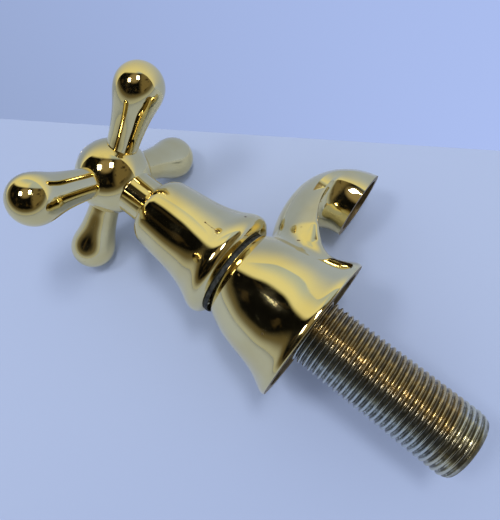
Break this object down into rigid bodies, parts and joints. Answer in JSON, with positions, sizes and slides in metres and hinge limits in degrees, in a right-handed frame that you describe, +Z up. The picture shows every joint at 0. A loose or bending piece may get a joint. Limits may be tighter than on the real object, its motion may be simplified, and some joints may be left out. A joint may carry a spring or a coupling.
{
  "type": "cross handle pillar tap",
  "caption": "Lacquered brass pillar tap: ball-ended cross handle on a rising spindle, bell cover, flared body with a short downturned spout and a threaded tail.",
  "frame": {"origin": "middle of the foot's seating face, on the tap's axis", "axes": "+Z up the axis towards the handle, spout towards -Y, threaded tail towards -Z"},
  "size_m": [0.0702, 0.0929, 0.1464],
  "materials": {
    "lacquered_brass": "polished, clear lacquered",
    "raw_brass": "cut thread, unlacquered",
    "machined_brass": "turned",
    "grey_rubber": "matt",
    "red_fibre": "pressed fibre",
    "graphite_packing": "pressed graphite yarn",
    "black_rubber": "moulded",
    "steel": "plain"
  },
  "bodies": {
    "tap": {"body_casting": "lacquered_brass", "threaded_tail": "raw_brass", "bell_seal_ring": "grey_rubber", "bell_cover": "lacquered_brass", "headgear_washer": "red_fibre", "headgear_body": "machined_brass", "gland_packing": "graphite_packing", "gland_washer": "machined_brass", "gland_nut": "machined_brass"},
    "valve": {"tap_washer": "black_rubber", "jumper": "machined_brass", "washer_nut": "machined_brass"},
    "handle": {"spindle": "machined_brass", "handle_hub": "lacquered_brass", "handle_arm_1": "lacquered_brass", "handle_arm_2": "lacquered_brass", "handle_arm_3": "lacquered_brass", "handle_arm_4": "lacquered_brass", "spring_washer": "steel", "handle_screw": "steel", "hub_button": "lacquered_brass"}
  },
  "joints": [
    {"name": "valve_lift", "type": "slide", "parent": "tap", "child": "valve", "axis": [0, 0, 1], "range_m": [0, 0.0045]},
    {"name": "handle_turn", "type": "hinge", "parent": "valve", "child": "handle", "pos_m": [0, 0, 0.0826], "axis": [0, 0, 1], "range_deg": [0, 810]}
  ],
  "couplings": [
    {"joint": "valve_lift", "follows": "handle_turn", "m_per_rad": 0.00031831}
  ]
}
